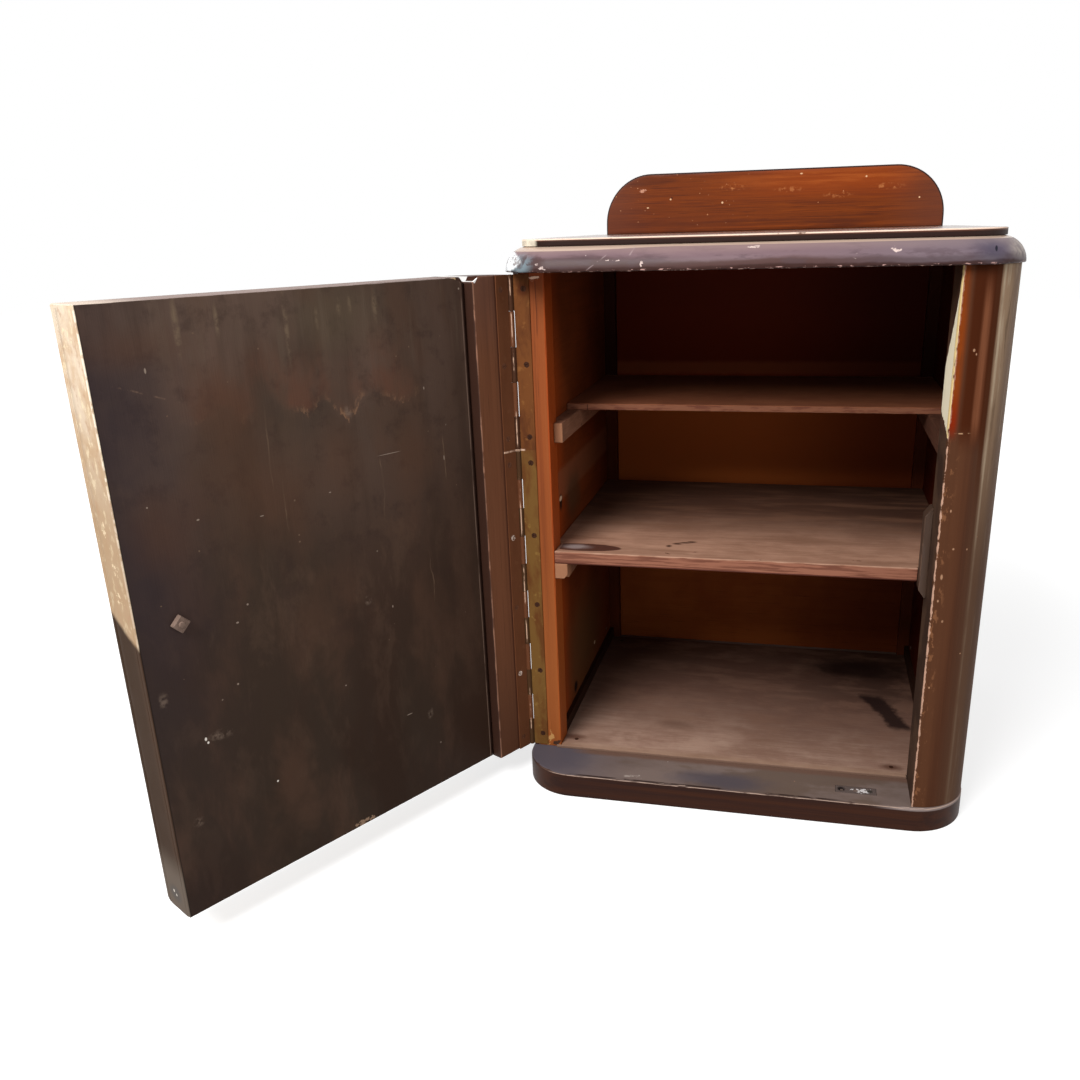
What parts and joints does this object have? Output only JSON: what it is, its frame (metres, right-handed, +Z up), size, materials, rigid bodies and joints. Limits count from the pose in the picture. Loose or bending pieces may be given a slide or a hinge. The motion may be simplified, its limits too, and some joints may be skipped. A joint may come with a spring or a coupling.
{
  "type": "bedside cabinet",
  "caption": "Small bedside cabinet with a side-hung door on a continuous hinge, rounded front corner post, inside shelves, moulded top and rounded back upstand.",
  "frame": {"origin": "centre of the underside of the base board, below the middle of the cabinet's depth", "axes": "+X to the right seen from the front, +Y to the back, +Z up; the door stands open as in the picture"},
  "size_m": [0.6397, 0.6066, 0.5725],
  "materials": {
    "varnished_wood": "dark varnish, worn at the edges",
    "top_varnish": "dark gloss varnish, chipped",
    "upstand_wood": "reddish varnish",
    "inside_wood": "thin stain, matt",
    "bare_wood": "bare, dusty",
    "stile_wood": "clear varnish",
    "door_varnish": "dark varnish",
    "door_core_wood": "bare",
    "knob_wood": "dark varnish",
    "hinge_brass": "dull, tarnished",
    "steel": "worn"
  },
  "bodies": {
    "cabinet": {"base_board": "varnished_wood", "left_side_panel": "varnished_wood", "right_side_panel": "varnished_wood", "right_corner_post": "varnished_wood", "door_stop": "varnished_wood", "top_core": "top_varnish", "top_moulding": "top_varnish", "top_panel": "top_varnish", "upstand": "upstand_wood", "left_side_liner": "inside_wood", "right_side_liner": "inside_wood", "left_wall_rails": "inside_wood", "right_wall_rails": "inside_wood", "left_back_post": "inside_wood", "right_back_post": "inside_wood", "back_panel": "inside_wood", "left_floor_cleat": "inside_wood", "right_floor_cleat": "inside_wood", "floor_board": "bare_wood", "upper_shelf": "bare_wood", "middle_shelf": "bare_wood", "upper_left_runner": "bare_wood", "upper_right_runner": "bare_wood", "middle_left_runner": "bare_wood", "middle_right_runner": "bare_wood", "upstand_dowels": "bare_wood", "left_front_stile": "stile_wood", "upper_hinge_frame_leaf": "hinge_brass", "lower_hinge_frame_leaf": "hinge_brass", "upper_hinge_pin": "steel", "lower_hinge_pin": "steel", "frame_leaf_screws": "steel", "strike_plate": "steel", "strike_screw": "steel", "floor_nails": "steel", "back_nails": "steel", "liner_nails": "steel"},
    "door": {"door_front_panel": "door_varnish", "door_back_panel": "door_varnish", "door_corner_stile": "door_varnish", "door_lock_stile": "door_core_wood", "door_top_rail": "door_core_wood", "door_lock_rail": "door_core_wood", "door_bottom_rail": "door_core_wood", "knob": "knob_wood", "knob_bolt": "steel", "knob_nut": "steel", "upper_hinge_door_leaf": "hinge_brass", "lower_hinge_door_leaf": "hinge_brass", "door_leaf_screws": "steel", "catch_barrel": "hinge_brass", "catch_spring": "steel"},
    "catch_ball": {"catch_ball": "steel"}
  },
  "joints": [
    {"name": "door_swing", "type": "hinge", "parent": "cabinet", "child": "door", "pos_m": [-0.2064, -0.1251, 0.026], "axis": [0, 0, 1], "range_deg": [-50.6, 119.4]},
    {"name": "catch_travel", "type": "slide", "parent": "door", "child": "catch_ball", "axis": [0, 0, 1], "range_m": [0, 0.0014], "stiffness_N_per_m": 300, "springref_m": -0.002, "deforming": ["catch_spring"]}
  ]
}
